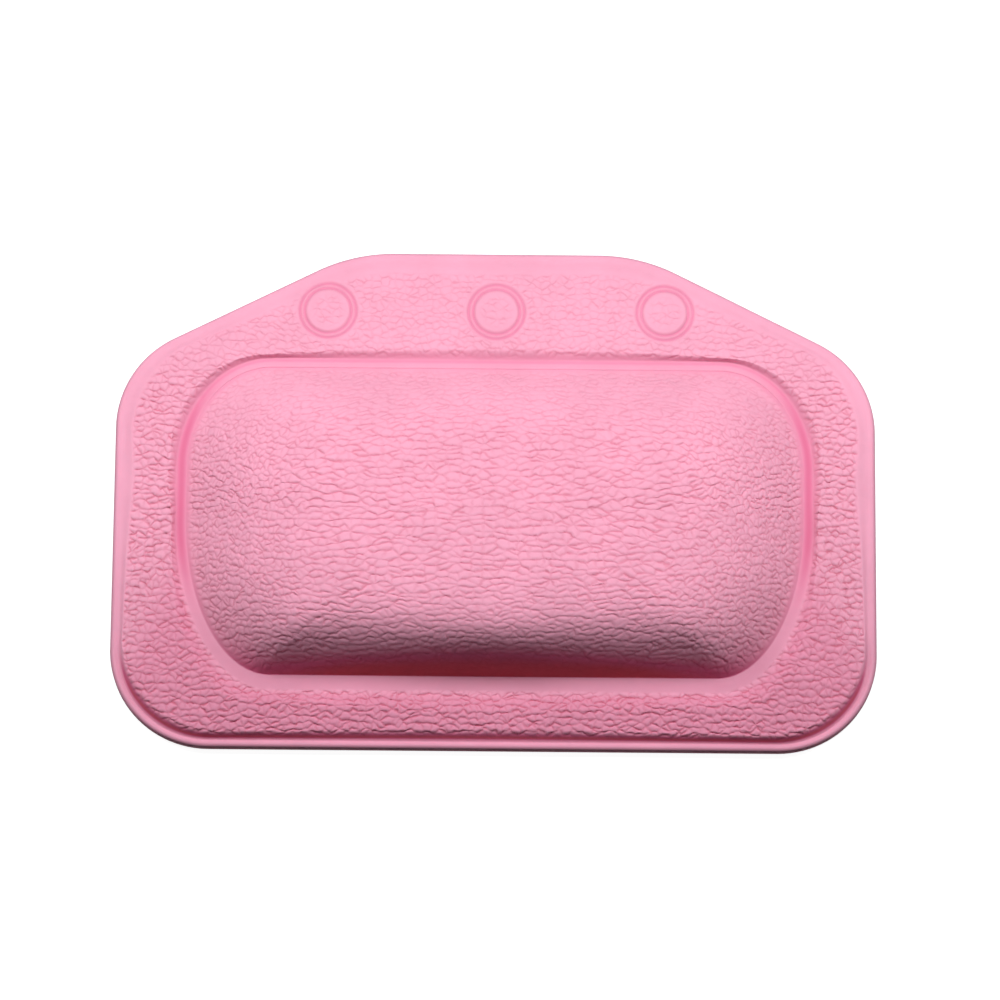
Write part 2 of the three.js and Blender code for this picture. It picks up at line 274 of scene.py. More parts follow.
class Plate:
    """The leaning plate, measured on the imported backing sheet. Its places are x across, y up the plate
    and z out of its front, from the middle of the backing sheet's underside."""

    def __init__(self):
        points = node_points("back_cover")
        centred = points - points.mean(axis=0)
        normal = np.linalg.eigh(centred.T @ centred)[1][:, 0]
        normal = normal * np.sign(normal[2])
        across = np.array((1.0, 0.0, 0.0))
        self.axes = np.array((across, np.cross(normal, across), normal))
        flat = points @ self.axes.T
        low, high = flat.min(axis=0), flat.max(axis=0)
        self.width, self.height, self.back_thickness = high - low
        self.origin = np.array(((low[0] + high[0]) / 2, (low[1] + high[1]) / 2, low[2])) @ self.axes
        self.cups = {side: self.cup_place(side) for side in CUP_SIDES}

    def cup_place(self, side):
        """Where a cup's upright axis meets the backing sheet, in the plate's places."""
        low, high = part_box(f"suction_cup_{side}")
        middle = np.array((low + high) / 2)
        depth = (self.origin - middle) @ self.axes[2] / self.axes[2][2]
        return (middle + (0, 0, depth) - self.origin) @ self.axes.T

    def place(self, points):
        """The plate's places as places of the frame."""
        return np.asarray(points) @ self.axes + self.origin

    def matrix(self):
        """The same as a matrix for a mesh or an object."""
        turned = Matrix([list(row) for row in self.axes.T]).to_4x4()
        return Matrix.Translation(Vector(self.origin)) @ turned


# Outlines


def arc(centre, radii, start, end, count):
    """Points of an arc without its last one."""
    angles = np.linspace(start, end, count, endpoint=False)
    return np.column_stack(
        (centre[0] + radii[0] * np.cos(angles), centre[1] + radii[1] * np.sin(angles))
    )


def run(start, end, count):
    """Points of a straight run without its last one."""
    along = np.linspace(0, 1, count, endpoint=False)[:, None]
    return np.array(start) + (np.array(end) - np.array(start)) * along


def mirrored(half):
    """A closed ring from its right half, which has a point on both ends of the middle line."""
    return np.vstack((half, half[-2:0:-1] * (-1, 1)))


def shoulder_slope(plate, sizes):
    """How far the shoulders lean away from upright."""
    return math.atan2(plate.width / 2 - sizes.top_edge / 2, sizes.shoulder_drop)


def up_share(plate, outline):
    """How far up the plate points lie, from -1 at its lower edge to 1 at its upper edge."""
    return outline[:, 1] / (plate.height / 2)


def plate_ring(plate, sizes, inset):
    """The plate's outline, taken in by an inset that keeps the centres of its corners."""
    count = OUTLINE_POINTS
    right, top = plate.width / 2, plate.height / 2
    slope = shoulder_slope(plate, sizes)
    lower = (right - sizes.bottom_corner, sizes.bottom_corner - top)
    side = (right - sizes.side_corner, top - sizes.shoulder_drop - sizes.side_corner * math.tan(slope / 2))
    upper = (
        sizes.top_edge / 2 - sizes.top_corner * math.tan((QUARTER - slope) / 2),
        top - sizes.top_corner,
    )
    edge = right - inset
    middle = (edge, (lower[1] + side[1]) / 2)

    def on_corner(centre, radius, angle):
        reach = radius - inset
        return (centre[0] + reach * math.cos(angle), centre[1] + reach * math.sin(angle))

    def corner(centre, radius, start, end, points):
        return arc(centre, (radius - inset, radius - inset), start, end, points)

    half = np.vstack((
        run((0, inset - top), (lower[0], inset - top), count["lower_run"]),
        corner(lower, sizes.bottom_corner, -QUARTER, 0, count["lower_corner"]),
        run((edge, lower[1]), middle, count["lower_side"]),
        run(middle, (edge, side[1]), count["upper_side"]),
        corner(side, sizes.side_corner, 0, slope, count["upper_corner"]),
        run(
            on_corner(side, sizes.side_corner, slope),
            on_corner(upper, sizes.top_corner, slope),
            count["shoulder"],
        ),
        corner(upper, sizes.top_corner, slope, QUARTER, count["top_corner"]),
        run((upper[0], top - inset), (0, top - inset), count["top_run"]),
        [(0, top - inset)],
    ))
    return mirrored(half)


class Box:
    """A rounded box whose lower corners are longer than its upper ones."""

    def __init__(self, side, top, bottom, upper, lower):
        self.side, self.top, self.bottom, self.upper, self.lower = side, top, bottom, upper, lower

    def shrunk(self, inset, lower_inset):
        """The box taken in by one inset at its sides and top and by another below."""
        return Box(
            self.side - inset,
            self.top - inset,
            self.bottom + lower_inset,
            (self.upper[0] - inset, self.upper[1] - inset),
            (self.lower[0] - inset, self.lower[1] - lower_inset),
        )

    def ring(self):
        """The box's outline, with as many points as the plate's."""
        count = OUTLINE_POINTS
        upper_run, lower_run = self.side - self.upper[0], self.side - self.lower[0]
        upper_start, lower_end = self.top - self.upper[1], self.bottom + self.lower[1]
        middle = (self.side, (lower_end + upper_start) / 2)
        top_points = count["shoulder"] + count["top_corner"] + count["top_run"]
        half = np.vstack((
            run((0, self.bottom), (lower_run, self.bottom), count["lower_run"]),
            arc((lower_run, lower_end), self.lower, -QUARTER, 0, count["lower_corner"]),
            run((self.side, lower_end), middle, count["lower_side"]),
            run(middle, (self.side, upper_start), count["upper_side"]),
            arc((upper_run, upper_start), self.upper, 0, QUARTER, count["upper_corner"]),
            run((upper_run, self.top), (0, self.top), top_points),
            [(0, self.top)],
        ))
        return mirrored(half)


def channel_box(plate, welds):
    """The channel's outer line."""
    return Box(
        plate.width / 2 - welds.side_border,
        plate.height / 2 - welds.top_border,
        welds.bottom_border - plate.height / 2,
        (welds.upper_across, welds.upper_up),
        (welds.lower_across, welds.lower_up),
    )


def smooth_step(low, high, value):
    """A smooth change from 0 to 1 while the value goes from low to high."""
    reach = np.clip((value - low) / (high - low), 0, 1)
    return reach * reach * (3 - 2 * reach)


# The front sheet, ring by ring from the edge inwards


class Rings:
    """Rings of points with what each point carries. Heights are above the seam between the sheets."""

    def __init__(self):
        self.outlines, self.heights, self.grain, self.weld = [], [], [], []

    def add(self, outline, height, grain=0.0, weld=0.0):
        """Adds a ring inside the last one, with a value for each of its points or one for them all."""
        even = np.ones(RING_POINTS)
        self.outlines.append(outline)
        self.heights.append(height * even)
        self.grain.append(grain * even)
        self.weld.append(weld * even)


def pressed_share(plate, outline):
    """How deep the rim's weld is pressed: fully along the lower edge, hardly at the sides and above."""
    up = up_share(plate, outline)
    return 0.02 + 0.04 * (1 - smooth_step(0.5, 0.95, up)) + 0.94 * (1 - smooth_step(-0.85, -0.5, up))


def add_rim(rings, plate, sizes, welds):
    """The outer wall and the bead, down to the floor of the rim weld."""
    edge = plate_ring(plate, sizes, 0)
    floor = rim_floor(plate, welds, edge)
    wall = welds.rim_height * BEAD_WALL
    top = rim_top(welds, pressed_share(plate, edge))
    middle = welds.rim_width / 2
    rings.add(plate_ring(plate, sizes, welds.rim_width * BEAD_TUCK), 0)
    for angle in np.linspace(0, math.pi, BEAD_RINGS):
        inset = middle * (1 - math.cos(angle))
        if angle < QUARTER:
            height = wall + (top - wall) * math.sin(angle)
        else:
            height = floor + (top - floor) * (1 - smooth_step(middle, welds.rim_width, inset))
        rings.add(plate_ring(plate, sizes, inset), height)


def rim_top(welds, pressed):
    """Height of the bead along the edge: it stands out lower only where the weld is pressed deep."""
    return welds.rim_height + welds.rim_rise * (1 - pressed)


def rim_floor(plate, welds, edge):
    """Height of the rim weld's floor round the edge."""
    pressed = pressed_share(plate, edge)
    top = rim_top(welds, pressed)
    return top - (top - welds.thickness) * pressed


def add_border(rings, plate, sizes, welds):
    """The puffed border between the rim weld and the channel. Its grain stops short of both."""
    outer = plate_ring(plate, sizes, welds.rim_width + welds.rim_weld * 0.2)
    inner = channel_box(plate, welds).ring()
    width = np.linalg.norm(outer - inner, axis=1)
    floor = rim_floor(plate, welds, outer)
    pressed = pressed_share(plate, outer)
    grooved = smooth_step(0.3, 1, pressed)
    below = smooth_step(0, -0.8, up_share(plate, inner))
    top_edge = smooth_step(0.86, 0.97, up_share(plate, outer))
    grain_share = 1.25 - 0.6 * smooth_step(0.35, 0.6, up_share(plate, inner))
    rim_ease = 4.4 * MM
    channel_ease = 4 * MM + 6 * MM * below
    bare_edge = 1.5 * MM + 4 * MM * top_edge + 2.4 * MM * (1 - pressed) * (1 - top_edge)
    grain_fade = 2.2 * MM
    grain_start, grain_full = -0.4 * MM - 1.6 * MM * below, 3 * MM - 1.6 * MM * below
    for step in np.linspace(0, 1, BORDER_RINGS):
        across = (step + (1 - math.cos(math.pi * step)) / 2) / 2
        from_rim, from_channel = width * across, width * (1 - across)
        rise = smooth_step(-0.15, 1, from_rim / rim_ease)
        inner_rise = smooth_step(-0.15, 1, from_channel / channel_ease)
        low = floor + (welds.thickness - floor) * across
        height = low + (sizes.front_thickness - low) * rise * inner_rise

        grain = smooth_step(bare_edge, bare_edge + grain_fade, from_rim)
        grain = grain * smooth_step(grain_start, grain_full, from_channel) * grain_share

        groove = smooth_step(0.3 * MM, 1.1 * MM, from_rim) * (1 - smooth_step(1.4 * MM, 3.4 * MM, from_rim))
        beside_channel = 1 - smooth_step(0, 2.5 * MM, from_channel)
        off_channel = smooth_step(0, 4 * MM, from_channel)
        # Next to the channel this is the weld's colour with painted shade in its hollow. In the rim groove
        # along the lower edge it is the weld's colour deepened by painted shade. Over the rest of the lower
        # border it is painted shade.
        tint = CHANNEL_WELD_SHADE * beside_channel * channel_press(plate, inner)
        tint = tint + GROOVE_WELD_SHADE * groove * grooved
        tint = tint + LOWER_BORDER_SHADE * (1 - groove) * off_channel * grooved
        rings.add(outer * (1 - across) + inner * across, height, grain, tint)


def channel_press(plate, outline):
    """How strongly the channel is tinted: most at the sides, least under the cushion. The tint is partly
    the pressed weld's colour and partly painted shade in the channel.
    """
    up = up_share(plate, outline)
    return (1 - 0.85 * smooth_step(-0.15, -0.5, up)) * (1 - 0.3 * smooth_step(0.3, 0.6, up))


def add_channel(rings, plate, welds):
    """The channel's floor, wider under the cushion. Above the cushion its inner half is a step higher."""
    box = channel_box(plate, welds)
    for step in np.linspace(0, 1, CHANNEL_RINGS + 2)[1:-1]:
        outline = box.shrunk(welds.channel * step, welds.lower_channel * step).ring()
        above = smooth_step(0.25, 0.55, up_share(plate, outline))
        raised = smooth_step(0.2, 0.55, step) * above
        # Painted shade: the tint is deepest in the channel's middle, where the groove lies in shade.
        tint = CHANNEL_WELD_SHADE + (1 - CHANNEL_WELD_SHADE) * math.sin(math.pi * step)
        tint = tint * (1 - 0.7 * raised) * channel_press(plate, outline)
        rings.add(outline, welds.thickness + welds.step * raised, weld=tint)


def add_dome(rings, foot, dome, base, inset=0.0, count=DOME_RINGS):
    """The dome over a foot that is taken in by an inset, from its foot to its spine. It is steep at the
    foot and eases off into a crown that slants down from its lower end to its upper one."""
    foot_ring = foot.shrunk(inset, inset).ring()
    spine = np.column_stack((
        foot_ring[:, 0] * dome.spine / 2 / (foot.side - inset),
        np.full(RING_POINTS, (foot.top + foot.bottom) / 2),
    ))
    line = spine - foot_ring
    reach_in = np.linalg.norm(line, axis=1)
    sideways = (line[:, 0] / reach_in) ** 2
    ease = np.where(line[:, 1] > 0, dome.lower_ease, dome.upper_ease)
    ease = ease + (dome.side_ease - ease) * sideways
    below = smooth_step(0.5, 0.9, line[:, 1] / reach_in)
    above = smooth_step(-0.5, -0.9, line[:, 1] / reach_in)
    foot_grain = 0.5 * below
    foot_tint = CHANNEL_WELD_SHADE + (UPPER_FOOT_TINT - CHANNEL_WELD_SHADE) * above
    for step in np.linspace(0, 1, count):
        across = SPINE_REACH * step * (0.7 + 0.3 * step)
        away = reach_in * across
        place = foot_ring + line * across
        upward = (place[:, 1] - foot.bottom) / (foot.top - foot.bottom)
        crown = dome.lower_height + (dome.upper_height - dome.lower_height) * upward - inset
        height = base + (crown - base) * np.tanh(away / ease)

        grain = foot_grain + (1 - foot_grain) * smooth_step(0.2 * MM, 2.5 * MM + 5 * MM * below, away)
        lower_slope = below * (1 - smooth_step(10 * MM, 40 * MM, away))
        upper_end = smooth_step(0.72, 0.95, upward)
        grain = grain * (1 - 0.5 * lower_slope) * (1 - 0.5 * upper_end)

        # The channel's tint runs into the dome's foot. Below it, the lower foot gets painted shade: a deep
        # red band up the steep underside, which lies in shadow.
        tint = foot_tint * (1 - smooth_step(0, 2.5 * MM, away))
        shade_at_foot = LOWER_FOOT_SHADE * (1 - smooth_step(1 * MM, 11 * MM, away))
        rings.add(place, height, grain, tint + (shade_at_foot - tint) * below)


def sheet_places(outlines, heights, foot_ring):
    """Places on the sheet before it was formed: the plan on the border, and the way along the slope on
    the dome, whose crown was drawn out most."""
    slope_share, least = 0.65, 1e-9
    places = outlines.copy()
    for ring in range(len(outlines) - 2, foot_ring - 1, -1):
        step = outlines[ring] - outlines[ring + 1]
        flat = np.linalg.norm(step, axis=1)
        along = np.hypot(flat, heights[ring] - heights[ring + 1])
        stretch = 1 - slope_share + slope_share * along / np.maximum(flat, least)
        places[ring] = places[ring + 1] + step * stretch[:, None]
    inward = np.linspace(0, 1, len(outlines) - foot_ring)[:, None, None]
    drawn = (0.32, 0.08) * smooth_step(0, 0.7, inward)
    places[foot_ring:] *= 1 - drawn
    return places


def ring_faces(rings, count=RING_POINTS, start=0):
    """Quads between rings that have as many points each."""
    first = np.arange(rings - 1)[:, None] * count + np.arange(count)[None, :] + start
    second = np.arange(rings - 1)[:, None] * count + (np.arange(count)[None, :] + 1) % count + start
    return np.stack((first, second, second + count, first + count), axis=-1).reshape(-1, 4)


def spine_faces(last, count=RING_POINTS):
    """Quads across the innermost ring, whose start is the index last."""
    half = count // 2
    quarter = half // 2
    right = [last + i for i in range(quarter + 1)]
    lower = [last + (count - i) % count for i in range(quarter, 0, -1)] + right
    upper = [last + half + i for i in range(quarter, 0, -1)] + [last + half - i for i in range(quarter + 1)]
    faces = []
    for i in range(len(lower) - 1):
        corners = [lower[i], lower[i + 1], upper[i + 1], upper[i]]
        faces.append(list(dict.fromkeys(corners)))
    return faces


def new_piece(name, mesh):
    """A new object for a mesh that is in place, on the scene's own collection."""
    piece = bpy.data.objects.new(name, mesh)
    bpy.context.scene.collection.objects.link(piece)
    return piece


def only(piece):
    """Selects one object and makes it the active one."""
    bpy.ops.object.select_all(action="DESELECT")
    piece.hide_set(False)
    piece.select_set(True)
    bpy.context.view_layer.objects.active = piece


def shade_smooth(piece, degrees):
    """Shades a piece smooth but for its edges that are sharper than an angle."""
    only(piece)
    bpy.ops.object.shade_smooth_by_angle(angle=math.radians(degrees))


def dress(piece, body, material, slot, *nodes):
    """Finishes a piece: its material, its body and the nodes that it stands for. Its record slot is not
    used.
    """
    piece.data.materials.clear()
    piece.data.materials.append(material)
    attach(piece, body)
    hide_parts(*nodes)


def add_back(shell, plate, settings, foot):
    """Closes the sheet's back: flat with the dome's hollow and a pocket for each cup's head."""
    outer = [shell.verts[i] for i in range(RING_POINTS)]
    inset = settings.welds.rim_width * BEAD_TUCK + 1.2 * MM
    coarse = plate_ring(plate, settings.plate, inset)[::BACK_STRIDE]
    half_stride = BACK_STRIDE // 2

    def loop(points, heights):
        levels = np.broadcast_to(heights, len(points))
        return [shell.verts.new((x, y, z)) for (x, y), z in zip(points, levels)]

    edge = loop(coarse, 0)
    for i, near in enumerate(edge):
        after = edge[(i + 1) % len(edge)]
        start = i * BACK_STRIDE
        for j in range(BACK_STRIDE):
            a, b = outer[start + j], outer[(start + j + 1) % RING_POINTS]
            shell.faces.new((b, a, near if j < half_stride else after))
        shell.faces.new((outer[start + half_stride], near, after))

    hollow = Rings()
    add_dome(hollow, foot, settings.dome, 0, settings.plate.dome_wall, HOLLOW_RINGS)
    levels = [
        loop(outline[::BACK_STRIDE], heights[::BACK_STRIDE])
        for outline, heights in zip(hollow.outlines, hollow.heights)
    ]
    for lower, upper in zip(levels, levels[1:]):
        for i in range(len(lower)):
            j = (i + 1) % len(lower)
            shell.faces.new((lower[i], lower[j], upper[j], upper[i]))
    shell.faces.new(levels[-1])

    pockets = []
    radius = settings.buttons.pocket_radius
    for x, y, _ in plate.cups.values():
        circle = arc((x, y), (radius, radius), 0, 4 * QUARTER, 32)
        mouth, roof = loop(circle, 0), loop(circle, settings.buttons.pocket_height)
        for i in range(len(mouth)):
            j = (i + 1) % len(mouth)
            shell.faces.new((mouth[i], mouth[j], roof[j], roof[i]))
        shell.faces.new(roof)
        pockets.append(mouth)

    edges = []
    for ends in (edge, levels[0], *pockets):
        for i, vertex in enumerate(ends):
            pair = (vertex, ends[(i + 1) % len(ends)])
            edges.append(shell.edges.get(pair) or shell.edges.new(pair))
    bmesh.ops.triangle_fill(shell, use_beauty=True, edges=edges, normal=(0, 0, -1))


def distance_to(centre, vertex):
    """How far a point lies from a button's axis."""
    return math.hypot(vertex.co.x - centre[0], vertex.co.y - centre[1])


def shape_buttons(shell, plate, settings):
    """Refines the flap round each button, raises its disc and presses two creases round it."""
    buttons = settings.buttons
    blend, line_inset, seam = 3 * MM, 0.2 * MM, 1 * MM
    reach = buttons.radius + buttons.ring_weld + blend
    lines = (buttons.radius + line_inset, buttons.radius + buttons.ring_weld - line_inset)
    grain, weld = (shell.verts.layers.float[name] for name in (GRAIN, WELD_AND_SHADE))
    place = shell.verts.layers.float_vector[SHEET_PLACE]
    for centre in plate.cups.values():
        near = [
            edge
            for edge in shell.edges
            if all(distance_to(centre, v) < reach + 1 * MM and v.co.z > seam for v in edge.verts)
        ]
        bmesh.ops.subdivide_edges(shell, edges=near, cuts=1, use_grid_fill=True)
        for vertex in shell.verts:
            away = distance_to(centre, vertex)
            if away > reach or vertex.co.z < seam:
                continue
            crown = max(0.0, 1 - (away / buttons.radius) ** 2)
            crease = sum(math.exp(-(((away - line) / buttons.crease_width) ** 2)) for line in lines)
            vertex.co.z += (buttons.height - vertex.co.z) * crown - buttons.crease * crease
            vertex[place] = (vertex.co.x, vertex.co.y, 0)
            vertex[weld] = BUTTON_TINT * min(1.0, crease)
            inside = 0.5 * (1 - float(smooth_step(0.5, 0.85, away / buttons.radius)))
            beyond = float(smooth_step(lines[1] + 0.5 * MM, reach, away))
            vertex[grain] = vertex[grain] * beyond if away > buttons.radius else inside


def front_sheet_mesh(plate, settings):
    """The front sheet as one closed body, in the plate's places."""
    sizes, welds, dome = settings.plate, settings.welds, settings.dome
    foot = channel_box(plate, welds).shrunk(welds.channel, welds.lower_channel)
    rings = Rings()
    add_rim(rings, plate, sizes, welds)
    add_border(rings, plate, sizes, welds)
    add_channel(rings, plate, welds)
    foot_ring = len(rings.outlines)
    add_dome(rings, foot, dome, welds.thickness)

    outlines, heights = np.array(rings.outlines), np.array(rings.heights)
    places = sheet_places(outlines, heights, foot_ring)
    points = np.dstack((outlines, heights)).reshape(-1, 3)
    faces = ring_faces(len(outlines)).tolist() + spine_faces((len(outlines) - 1) * RING_POINTS)
    mesh = bpy.data.meshes.new("front_sheet")
    mesh.from_pydata(points, [], faces)
    flat = np.dstack((places, np.zeros(heights.shape))).reshape(-1, 3)
    mesh.attributes.new(SHEET_PLACE, "FLOAT_VECTOR", "POINT").data.foreach_set("vector", flat.ravel())
    for name, values in ((GRAIN, rings.grain), (WELD_AND_SHADE, rings.weld)):
        mesh.attributes.new(name, "FLOAT", "POINT").data.foreach_set("value", np.array(values).ravel())

    shell = bmesh.new()
    shell.from_mesh(mesh)
    shape_buttons(shell, plate, settings)
    shell.verts.ensure_lookup_table()
    add_back(shell, plate, settings, foot)
    bmesh.ops.translate(shell, verts=shell.verts, vec=(0, 0, plate.back_thickness + sizes.fit_gap))
    bmesh.ops.recalc_face_normals(shell, faces=shell.faces)
    shell.to_mesh(mesh)
    shell.free()
    return mesh


# Node groups


class Board:
    """Adds nodes to a tree and wires them. An input is a value or another node's output."""

    def __init__(self, tree):
        self.tree = tree
        self.count = 0

    def wire(self, socket, value):
        """Gives a socket its value, or links it to another node's output."""
        if isinstance(value, bpy.types.NodeSocket):
            self.tree.links.new(value, socket)
        elif value is not None:
            socket.default_value = value

    def node(self, kind, inputs=None, **settings):
        """A new node with its settings and inputs, placed in rows of twelve."""
        made = self.tree.nodes.new(kind)
        made.location = (180 * (self.count % 12), -220 * (self.count // 12))
        self.count += 1
        for name, value in settings.items():
            setattr(made, name, value)
        for name, value in (inputs or {}).items():
            self.wire(made.inputs[name], value)
        return made

    def math(self, operation, *values):
        """A sum on values."""
        made = self.node("ShaderNodeMath", operation=operation)
        for socket, value in zip(made.inputs, values):
            self.wire(socket, value)
        return made.outputs[0]

    def vector(self, operation, *values, output=0):
        """A sum on vectors."""
        made = self.node("ShaderNodeVectorMath", operation=operation)
        for socket, value in zip(made.inputs, values):
            self.wire(socket, value)
        return made.outputs[output]

    def ease(self, value, low, high, start=0.0, end=1.0):
        """A smooth change from start to end while the value goes from low to high."""
        inputs = {"Value": value, "From Min": low, "From Max": high, "To Min": start, "To Max": end}
        return self.node("ShaderNodeMapRange", inputs, interpolation_type="SMOOTHSTEP").outputs["Result"]

    def mix(self, share_of, first, second):
        """A colour between two."""
        made = self.node("ShaderNodeMix", data_type="RGBA")
        self.wire(made.inputs[0], share_of)
        self.wire(made.inputs[6], first)
        self.wire(made.inputs[7], second)
        return made.outputs[2]


def new_group(name, tree_type, inputs, outputs):
    """A node group with named sockets. Returns its board and its input and output nodes."""
    tree = bpy.data.node_groups.new(name, tree_type)
    for label, kind, value in inputs:
        socket = tree.interface.new_socket(label, in_out="INPUT", socket_type=kind)
        if value is not None:
            socket.default_value = value
    for label, kind in outputs:
        tree.interface.new_socket(label, in_out="OUTPUT", socket_type=kind)
    board = Board(tree)
    return board, board.node("NodeGroupInput"), board.node("NodeGroupOutput")


def crazed_grain(tree_type):
    """Crazed leather grain: cells in ragged rows, each swelling towards its lower side, where it drops
    to the cells below. The relief and the finish of the front sheet use the same pattern."""
    board, given, made = new_group(
        "Crazed Grain " + ("Relief" if tree_type == "GeometryNodeTree" else "Finish"),
        tree_type,
        [
            ("Place", "NodeSocketVector", None),
            ("Cell Width", "NodeSocketFloat", 0.004),
            ("Cell Height", "NodeSocketFloat", 0.0027),
            ("Swelling", "NodeSocketFloat", 0.35),
        ],
        [
            ("Cells", "NodeSocketFloat"),
            ("Crease", "NodeSocketFloat"),
            ("Tone", "NodeSocketFloat"),
        ],
    )
    width, height = given.outputs["Cell Width"], given.outputs["Cell Height"]
    size = board.node("ShaderNodeCombineXYZ", {"X": width, "Y": height, "Z": 1.0}).outputs[0]
    cells = board.vector("DIVIDE", given.outputs["Place"], size)

    def wander(scale, amount):
        noise = board.node(
            "ShaderNodeTexNoise", {"Vector": cells, "Scale": scale, "Detail": 1.0}, noise_dimensions="2D"
        ).outputs["Color"]
        centred = board.vector("SUBTRACT", noise, (0.5, 0.5, 0.5))
        return board.vector("MULTIPLY", centred, (amount, amount, 0.0))

    # The rows wander far and slowly, then less and faster
    ragged = board.vector("ADD", cells, wander(0.31, 0.9))
    ragged = board.vector("ADD", ragged, wander(1.2, 0.4))
    ragged = board.vector("ADD", ragged, wander(3.3, 0.1))

    def voronoi(feature):
        return board.node(
            "ShaderNodeTexVoronoi",
            {"Vector": ragged, "Scale": 1.0, "Randomness": 0.94},
            voronoi_dimensions="2D",
            feature=feature,
        ).outputs

    edge = voronoi("DISTANCE_TO_EDGE")["Distance"]
    nearest, second = voronoi("F1"), voronoi("F2")

    # Creases along the rows are pressed deeper than those across them, and all less in some patches
    between = board.vector("SUBTRACT", second["Position"], nearest["Position"])
    between = board.vector("MULTIPLY", between, size)
    parts = board.node("ShaderNodeSeparateXYZ", {"Vector": between}).outputs
    span = board.vector("LENGTH", between, output=1)
    upright = board.math("ABSOLUTE", board.math("DIVIDE", parts["Y"], span))
    level = board.ease(upright, 0.2, 0.8, 0.42, 1.0)
    patches = board.node(
        "ShaderNodeTexNoise", {"Vector": cells, "Scale": 0.7, "Detail": 1.0}, noise_dimensions="2D"
    ).outputs[0]
    level = board.math("MULTIPLY", level, board.ease(patches, 0.34, 0.62, 0.45, 1.0))

    hollow = board.math("MULTIPLY", board.ease(edge, 0.0, 0.42, 1.0, 0.0), level)
    above = board.vector("SUBTRACT", ragged, nearest["Position"])
    above = board.node("ShaderNodeSeparateXYZ", {"Vector": above}).outputs["Y"]
    swelling = board.math("MULTIPLY", board.ease(above, 0.6, -0.5, -0.5, 0.5), given.outputs["Swelling"])
    board.wire(made.inputs["Cells"], board.math("ADD", board.math("SUBTRACT", 1.0, hollow), swelling))
    line = board.ease(edge, 0.0, 0.24, 1.0, 0.0)
    board.wire(made.inputs["Crease"], board.math("MULTIPLY", line, level))
    tone = board.node("ShaderNodeSeparateXYZ", {"Vector": nearest["Color"]}).outputs[0]
    board.wire(made.inputs["Tone"], tone)
    return board.tree


def foam_pores():
    """Fine closed pores and slow mottling of moulded foam."""
    board, given, made = new_group(
        "Foam Pores",
        "ShaderNodeTree",
        [("Place", "NodeSocketVector", None), ("Pore Size", "NodeSocketFloat", 0.0004)],
        [("Pores", "NodeSocketFloat"), ("Mottling", "NodeSocketFloat")],
    )
    scale = board.math("DIVIDE", 1.0, given.outputs["Pore Size"])
    inputs = {"Vector": given.outputs["Place"], "Scale": scale, "Detail": 2.0}
    board.wire(made.inputs["Pores"], board.node("ShaderNodeTexNoise", inputs).outputs[0])
    slow = {"Vector": given.outputs["Place"], "Scale": 38.0, "Detail": 3.0}
    board.wire(made.inputs["Mottling"], board.node("ShaderNodeTexNoise", slow).outputs[0])
    return board.tree


def shared_group(name, build):
    """The named node group, built the first time that it is asked for."""
    return bpy.data.node_groups.get(name) or build()


def new_material(name, values):
    """A material with one Principled shader, and its board."""
    material = bpy.data.materials.new(name)
    material.use_nodes = True
    material.node_tree.nodes.clear()
    board = Board(material.node_tree)
    shader = board.node("ShaderNodeBsdfPrincipled")
    for socket, value in values.items():
        shader.inputs[socket].default_value = value
    board.node("ShaderNodeOutputMaterial", {"Surface": shader.outputs[0]})
    return material, board, shader


def faded(colour_value, amount):
    """A colour that is scaled in brightness, with full alpha."""
    return (*(channel * amount for channel in colour_value), 1.0)


def foam_skin(settings):
    """Soft embossed foam: pressed and more saturated at the welds. Painted shade darkens the grain's
    creases, the channel, the rim groove, the lower border and the cushion's lower foot.
    """
    grain, colours = settings.grain, settings.colours
    material, board, shader = new_material(
        "foam_skin",
        {
            "Subsurface Weight": 0.12,
            "Subsurface Radius": (1.0, 0.45, 0.5),
            "Subsurface Scale": 1.6 * MM,
            "Specular IOR Level": 0.08,
        },
    )
    place = board.node("ShaderNodeAttribute", attribute_name=SHEET_PLACE).outputs["Vector"]
    strength = board.node("ShaderNodeAttribute", attribute_name=GRAIN).outputs["Fac"]
    # The weld attribute: up to 1 the weld's colour, partly as painted shade in the channel, the rim groove
    # and along the lower border; from 1 to 2 the lower foot's painted shade.
    pressed = board.node("ShaderNodeAttribute", attribute_name=WELD_AND_SHADE).outputs["Fac"]
    cells = board.node(
        "ShaderNodeGroup",
        {"Place": place, "Cell Width": grain.cell_width, "Cell Height": grain.cell_height},
        node_tree=shared_group("Crazed Grain Finish", lambda: crazed_grain("ShaderNodeTree")),
    )
    pores = board.node(
        "ShaderNodeGroup",
        {"Place": board.node("ShaderNodeTexCoord").outputs["Object"]},
        node_tree=shared_group("Foam Pores", foam_pores),
    )

    crease = board.math("MULTIPLY", cells.outputs["Crease"], strength)
    mottled = board.ease(pores.outputs["Mottling"], 0.3, 0.7)
    skin = board.mix(mottled, faded(colours.skin, 0.96), faded(colours.skin, 1.03))
    tinted = board.mix(board.math("MULTIPLY", cells.outputs["Tone"], 0.25), skin, faded(colours.skin, 1.06))
    welded = board.mix(board.math("MINIMUM", pressed, 1.0), tinted, faded(colours.weld, 1))
    # Painted shade: the deep red of the cushion's lower foot.
    shaded = board.mix(board.ease(pressed, 1.0, 2.0), welded, faded(colours.painted_foot_shade, 1))
    # Painted shade down in the grain's creases.
    darker = board.vector("MULTIPLY", shaded, tuple(colours.crease))
    crease_shade = board.mix(board.math("MULTIPLY", crease, 0.6), shaded, darker)
    board.wire(shader.inputs["Base Color"], crease_shade)
    board.wire(shader.inputs["Roughness"], board.ease(pressed, 0.0, 1.0, 0.55, 0.42))

    depth = board.math("MULTIPLY", crease, -grain.crease_depth)
    fine = board.math("MULTIPLY", pores.outputs["Pores"], 0.02 * MM)
    height = board.math("ADD", depth, fine)
    bump = board.node("ShaderNodeBump", {"Height": height, "Distance": 1.0, "Strength": 1.0})
    board.wire(shader.inputs["Normal"], bump.outputs[0])
    return material


